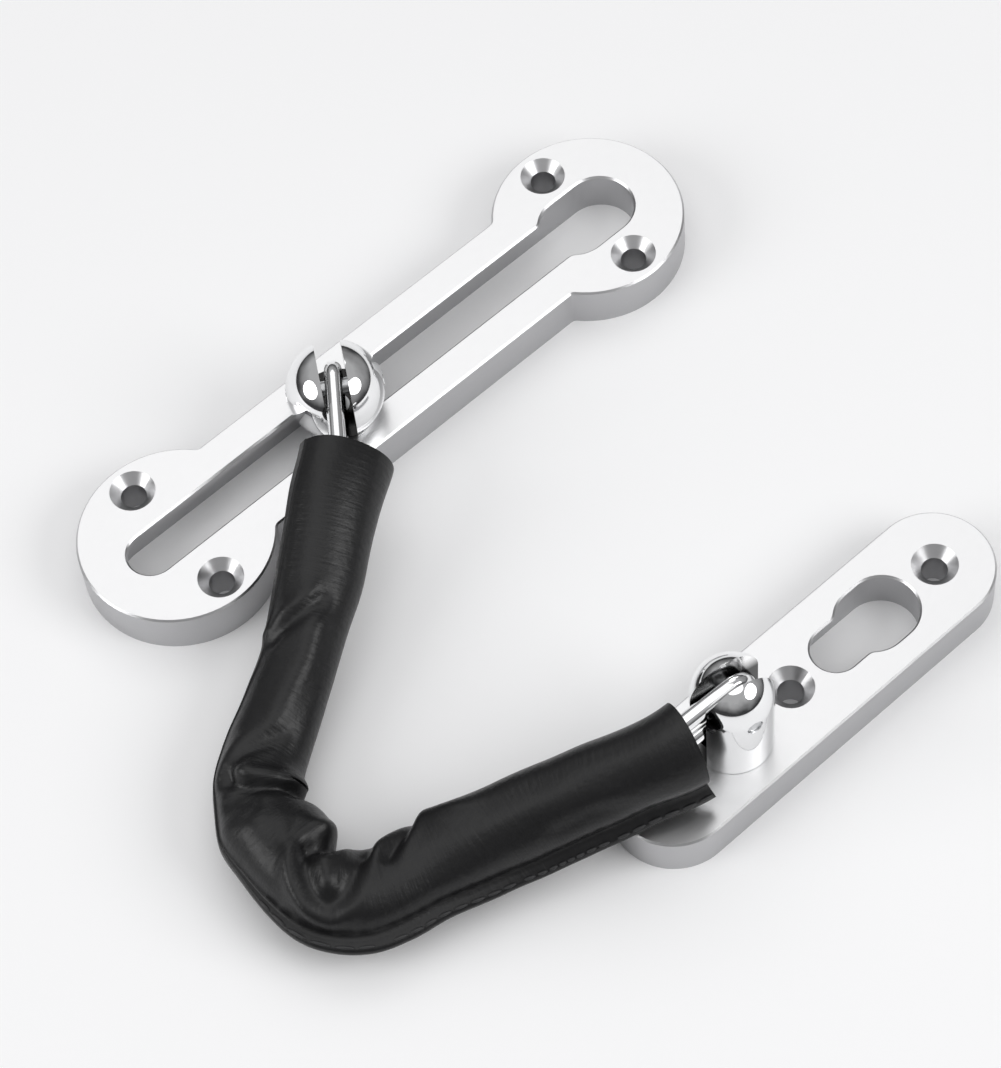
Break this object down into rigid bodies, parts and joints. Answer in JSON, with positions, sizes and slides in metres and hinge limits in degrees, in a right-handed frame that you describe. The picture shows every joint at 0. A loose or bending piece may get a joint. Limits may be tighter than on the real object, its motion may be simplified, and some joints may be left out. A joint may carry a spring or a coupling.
{
  "type": "door chain guard",
  "caption": "Door security chain with a leather sleeve: a ball runs in a slotted track plate with a keyhole, and a domed post holds the chain on an anchor plate.",
  "frame": {"origin": "centre of the track plate's four screw holes, on its back face", "axes": "+X along the track towards the keyhole, +Z out of the door face, +Y away from the anchor plate as it lies"},
  "size_m": [0.1593, 0.1288, 0.0312],
  "materials": {
    "brushed_plate": "satin brushed, bright broken edges",
    "chrome": "polished mirror chrome",
    "chrome_wire": "polished wire",
    "bright_steel": "turned steel",
    "black_leather": "semi-gloss grained, sewn along one edge"
  },
  "bodies": {
    "track": {"track_plate": "brushed_plate"},
    "slider": {"slider_stud": "bright_steel"},
    "ball": {"slider_ball": "chrome", "slider_pin": "bright_steel"},
    "link_1": {"link_01": "chrome_wire", "sleeve_01": "black_leather"},
    "link_2": {"link_02": "chrome_wire", "sleeve_02": "black_leather"},
    "link_3": {"link_03": "chrome_wire", "sleeve_03": "black_leather"},
    "link_4": {"link_04": "chrome_wire", "sleeve_04": "black_leather"},
    "link_5": {"link_05": "chrome_wire", "sleeve_05": "black_leather"},
    "link_6": {"link_06": "chrome_wire", "sleeve_06": "black_leather"},
    "link_7": {"link_07": "chrome_wire", "sleeve_07": "black_leather"},
    "link_8": {"link_08": "chrome_wire", "sleeve_08": "black_leather"},
    "link_9": {"link_09": "chrome_wire", "sleeve_09": "black_leather"},
    "post": {"anchor_post": "chrome", "anchor_pin": "bright_steel", "post_screw": "bright_steel"},
    "anchor": {"anchor_plate": "brushed_plate"}
  },
  "joints": [
    {"name": "slider_slide", "type": "slide", "parent": "track", "child": "slider", "axis": [1, 0, 0], "range_m": [-0.0445, 0.0653]},
    {"name": "ball_swivel", "type": "hinge", "parent": "slider", "child": "ball", "pos_m": [-0.01183, 0, 0.012], "axis": [0, 0, 1], "range_deg": [-4, 85]},
    {"name": "slider_pin_hinge", "type": "hinge", "parent": "ball", "child": "link_1", "pos_m": [-0.01183, 0, 0.0158], "axis": [-0.8526, 0.5225, 0], "range_deg": [-3, 100], "deforming": ["sleeve_01"]},
    {"name": "link_2_swing", "type": "hinge", "parent": "link_1", "child": "link_2", "pos_m": [-0.02444, -0.01673, 0.0169], "axis": [0.0315, 0.0418, 0.9986], "range_deg": [-12, 40], "deforming": ["sleeve_02"]},
    {"name": "link_3_lift", "type": "hinge", "parent": "link_2", "child": "link_3", "pos_m": [-0.04043, -0.02936, 0.01247], "axis": [-0.6198, 0.7848, 0], "range_deg": [-15, 40], "deforming": ["sleeve_03"]},
    {"name": "link_4_swing", "type": "hinge", "parent": "link_3", "child": "link_4", "pos_m": [-0.05781, -0.04003, 0.00855], "axis": [0.1595, 0.1016, -0.982], "range_deg": [-35, 40], "deforming": ["sleeve_04"]},
    {"name": "link_5_lift", "type": "hinge", "parent": "link_4", "child": "link_5", "pos_m": [-0.07664, -0.04869, 0.00709], "axis": [-0.4179, 0.9085, 0], "range_deg": [-15, 4], "deforming": ["sleeve_05"]},
    {"name": "link_6_swing", "type": "hinge", "parent": "link_5", "child": "link_6", "pos_m": [-0.07795, -0.07103, 0.00709], "axis": [0, 0, 1], "range_deg": [-40, 5], "deforming": ["sleeve_06"]},
    {"name": "link_7_lift", "type": "hinge", "parent": "link_6", "child": "link_7", "pos_m": [-0.061, -0.08273, 0.00983], "axis": [-0.5678, -0.8231, 0], "range_deg": [-15, 22], "deforming": ["sleeve_07"]},
    {"name": "link_8_swing", "type": "hinge", "parent": "link_7", "child": "link_8", "pos_m": [-0.04124, -0.08796, 0.01425], "axis": [0.2031, -0.0644, -0.977], "range_deg": [-40, 40], "deforming": ["sleeve_08"]},
    {"name": "link_9_lift", "type": "hinge", "parent": "link_8", "child": "link_9", "pos_m": [-0.02467, -0.0988, 0.02051], "axis": [-0.5476, -0.8368, 0], "range_deg": [-4, 40], "deforming": ["sleeve_09"]},
    {"name": "anchor_pin_hinge", "type": "hinge", "parent": "link_9", "child": "post", "pos_m": [-0.00705, -0.09928, 0.02386], "axis": [0.1908, 0.9816, 0], "range_deg": [-60, 2]},
    {"name": "post_swivel", "type": "hinge", "parent": "post", "child": "anchor", "pos_m": [-0.00705, -0.09928, 0.009], "axis": [0, 0, 1], "range_deg": [-135, 135]}
  ]
}
